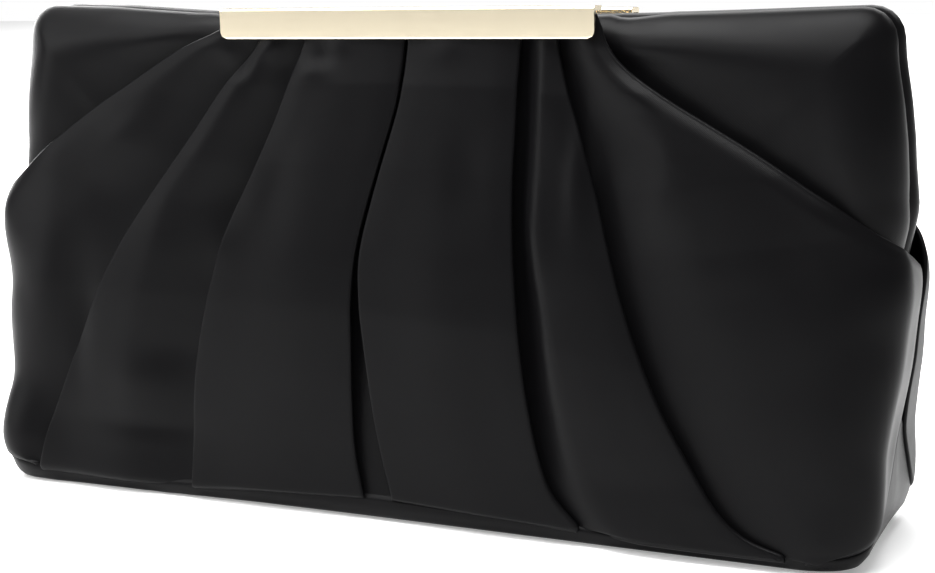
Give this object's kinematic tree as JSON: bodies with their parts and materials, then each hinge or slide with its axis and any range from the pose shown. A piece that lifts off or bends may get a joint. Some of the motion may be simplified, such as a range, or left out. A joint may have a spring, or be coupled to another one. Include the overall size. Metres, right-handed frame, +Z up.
{
  "type": "clutch purse",
  "caption": "Pleated satin clutch purse whose padded mouth swings open in two halves on side rivets, each with a metal bar on its outer face.",
  "frame": {"origin": "centre of the underside, on the surface that the purse stands on, with the mouth closed", "axes": "+X to the purse's right as its front is seen, -Y out of the front, +Z up"},
  "size_m": [0.2832, 0.0624, 0.1448],
  "materials": {
    "satin": "black satin with a soft sheen",
    "bar_metal": "pale gold plate, brushed along its length",
    "lining": "black lining cloth",
    "padding": "soft foam",
    "board": "grey-brown stiffener board",
    "frame_steel": "plain steel strip",
    "magnet": "nickel plate"
  },
  "bodies": {
    "pouch": {"front_wall_cover": "satin", "front_wall_foam": "padding", "front_wall_lining": "lining", "front_pleats_lower": "satin", "front_flex_band": "satin", "back_wall_cover": "satin", "back_wall_foam": "padding", "back_wall_lining": "lining", "back_pleats_lower": "satin", "back_flex_band": "satin", "left_gusset_cover": "satin", "left_gusset_lining": "lining", "left_side_wrap": "satin", "left_side_flex": "satin", "left_bellows": "satin", "left_hinge_rivet": "frame_steel", "left_hinge_tab": "lining", "right_gusset_cover": "satin", "right_gusset_lining": "lining", "right_side_wrap": "satin", "right_side_flex": "satin", "right_bellows": "satin", "right_hinge_rivet": "frame_steel", "right_hinge_tab": "lining", "base_cover": "satin", "base_board": "board", "base_lining": "lining", "slip_pocket": "lining"},
    "front_half": {"front_bar": "bar_metal", "front_bar_rivets": "bar_metal", "front_pleats_upper": "satin", "front_panel_cover": "satin", "front_panel_foam": "padding", "front_panel_board": "board", "front_panel_lining": "lining", "front_magnets": "magnet", "front_frame": "frame_steel", "front_rim_cover": "satin"},
    "back_half": {"back_bar": "bar_metal", "back_bar_rivets": "bar_metal", "back_pleats_upper": "satin", "back_panel_cover": "satin", "back_panel_foam": "padding", "back_panel_board": "board", "back_panel_lining": "lining", "back_magnets": "magnet", "back_frame": "frame_steel", "back_rim_cover": "satin"}
  },
  "joints": [
    {"name": "front_swing", "type": "hinge", "parent": "pouch", "child": "front_half", "pos_m": [0, 0, 0.072], "axis": [1, 0, 0], "range_deg": [0, 30], "deforming": ["front_flex_band", "left_bellows", "left_side_flex", "right_bellows", "right_side_flex"]},
    {"name": "back_swing", "type": "hinge", "parent": "pouch", "child": "back_half", "pos_m": [0, 0, 0.072], "axis": [-1, 0, 0], "range_deg": [0, 30], "deforming": ["back_flex_band", "left_bellows", "left_side_flex", "right_bellows", "right_side_flex"]}
  ]
}
